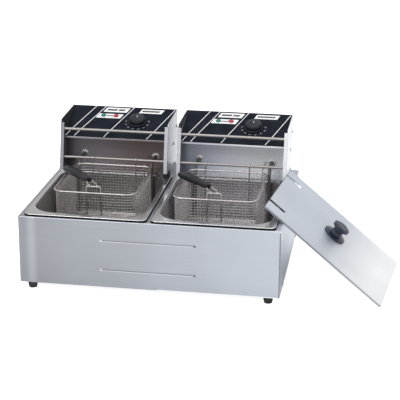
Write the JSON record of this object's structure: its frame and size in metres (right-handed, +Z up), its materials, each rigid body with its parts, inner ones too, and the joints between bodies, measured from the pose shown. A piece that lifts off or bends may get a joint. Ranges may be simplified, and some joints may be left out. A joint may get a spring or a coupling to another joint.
{
  "type": "deep fryer",
  "caption": "Countertop electric deep fryer with side-by-side lift-out tanks, lift-off control heads, wire baskets and a lid leaning on its side.",
  "frame": {"origin": "on the surface it stands on, under the middle of the casing", "axes": "+X to the right along the casing's width, -Y towards the front, +Z up"},
  "size_m": [0.8014, 0.4511, 0.299],
  "materials": {
    "casing_steel": "brushed stainless sheet",
    "tray_steel": "plain galvanised sheet",
    "screw_steel": "bright plated screw heads",
    "foot_rubber": "matt black rubber",
    "tank_steel": "polished pressed stainless",
    "head_steel": "brushed stainless sheet",
    "panel_black": "printed black overlay",
    "knob_black": "moulded black plastic",
    "fitting_steel": "plated steel",
    "fitting_brass": "nickel-plated nuts",
    "capillary_steel": "drawn tube",
    "element_steel": "oxidised stainless tube",
    "terminal_plastic": "ceramic white",
    "switch_plastic": "black phenolic",
    "gland_plastic": "black nylon",
    "rod_steel": "bright drawn rod",
    "lamp_green": "green lens",
    "lamp_red": "red lens",
    "wire_chrome": "tinned wire",
    "grip_black": "moulded black plastic",
    "lid_steel": "satin stainless sheet",
    "lid_knob_black": "moulded black plastic"
  },
  "bodies": {
    "root": {"casing": "casing_steel", "base_tray": "tray_steel", "tray_screws": "screw_steel", "feet": "foot_rubber", "foot_screws": "screw_steel"},
    "lid": {"tank_lid": "lid_steel", "lid_knob": "lid_knob_black", "lid_screw": "screw_steel"},
    "tank_left": {"tank_left": "tank_steel"},
    "head_left": {"head_shell_left": "head_steel", "head_front_left": "head_steel", "head_base_left": "tray_steel", "control_panel_left": "panel_black", "thermostat_left": "fitting_steel", "thermostat_bulb_left": "capillary_steel", "heating_element_left": "element_steel", "element_nuts_left": "fitting_brass", "element_strap_left": "fitting_steel", "terminal_block_left": "terminal_plastic", "safety_switch_left": "switch_plastic", "overheat_cutout_left": "switch_plastic", "cord_gland_left": "gland_plastic", "gland_nut_left": "gland_plastic", "head_screws_left": "screw_steel", "carry_rod_left": "rod_steel", "basket_rod_left": "rod_steel", "green_lamp_left": "lamp_green", "red_lamp_left": "lamp_red"},
    "knob_left": {"dial_knob_left": "knob_black", "thermostat_shaft_left": "screw_steel"},
    "basket_left": {"basket_frame_left": "wire_chrome", "basket_mesh_left": "wire_chrome"},
    "handle_left": {"handle_fork_left": "wire_chrome", "handle_grip_left": "grip_black"},
    "tank_right": {"tank_right": "tank_steel"},
    "head_right": {"head_shell_right": "head_steel", "head_front_right": "head_steel", "head_base_right": "tray_steel", "control_panel_right": "panel_black", "thermostat_right": "fitting_steel", "thermostat_bulb_right": "capillary_steel", "heating_element_right": "element_steel", "element_nuts_right": "fitting_brass", "element_strap_right": "fitting_steel", "terminal_block_right": "terminal_plastic", "safety_switch_right": "switch_plastic", "overheat_cutout_right": "switch_plastic", "cord_gland_right": "gland_plastic", "gland_nut_right": "gland_plastic", "head_screws_right": "screw_steel", "carry_rod_right": "rod_steel", "basket_rod_right": "rod_steel", "green_lamp_right": "lamp_green", "red_lamp_right": "lamp_red"},
    "knob_right": {"dial_knob_right": "knob_black", "thermostat_shaft_right": "screw_steel"},
    "basket_right": {"basket_frame_right": "wire_chrome", "basket_mesh_right": "wire_chrome"},
    "handle_right": {"handle_fork_right": "wire_chrome", "handle_grip_right": "grip_black"}
  },
  "joints": [
    {"name": "tank_lift_left", "type": "slide", "parent": "root", "child": "tank_left", "axis": [0, 0, 1], "range_m": [0, 0.2]},
    {"name": "head_lift_left", "type": "slide", "parent": "tank_left", "child": "head_left", "axis": [0, 0, 1], "range_m": [0, 0.2]},
    {"name": "basket_lift_left", "type": "slide", "parent": "head_left", "child": "basket_left", "axis": [0, 0, 1], "range_m": [0, 0.15]},
    {"name": "handle_fold_left", "type": "hinge", "parent": "basket_left", "child": "handle_left", "pos_m": [-0.1438, -0.1305, 0.211], "axis": [0.9511, 0.309, 0], "range_deg": [0, 165]},
    {"name": "knob_turn_left", "type": "hinge", "parent": "head_left", "child": "knob_left", "pos_m": [-0.0965, 0.15697, 0.27772], "axis": [0, 0.3443, -0.9389], "range_deg": [0, 270]},
    {"name": "tank_lift_right", "type": "slide", "parent": "root", "child": "tank_right", "axis": [0, 0, 1], "range_m": [0, 0.2]},
    {"name": "head_lift_right", "type": "slide", "parent": "tank_right", "child": "head_right", "axis": [0, 0, 1], "range_m": [0, 0.2]},
    {"name": "basket_lift_right", "type": "slide", "parent": "head_right", "child": "basket_right", "axis": [0, 0, 1], "range_m": [0, 0.15]},
    {"name": "handle_fold_right", "type": "hinge", "parent": "basket_right", "child": "handle_right", "pos_m": [0.1182, -0.1305, 0.211], "axis": [0.9511, 0.309, 0], "range_deg": [0, 165]},
    {"name": "knob_turn_right", "type": "hinge", "parent": "head_right", "child": "knob_right", "pos_m": [0.1765, 0.15697, 0.27772], "axis": [0, 0.3443, -0.9389], "range_deg": [0, 270]},
    {"name": "lid_take_off", "type": "slide", "parent": "head_right", "child": "lid", "axis": [0.6116, -0.0708, 0.788], "range_m": [0, 0.1]}
  ]
}
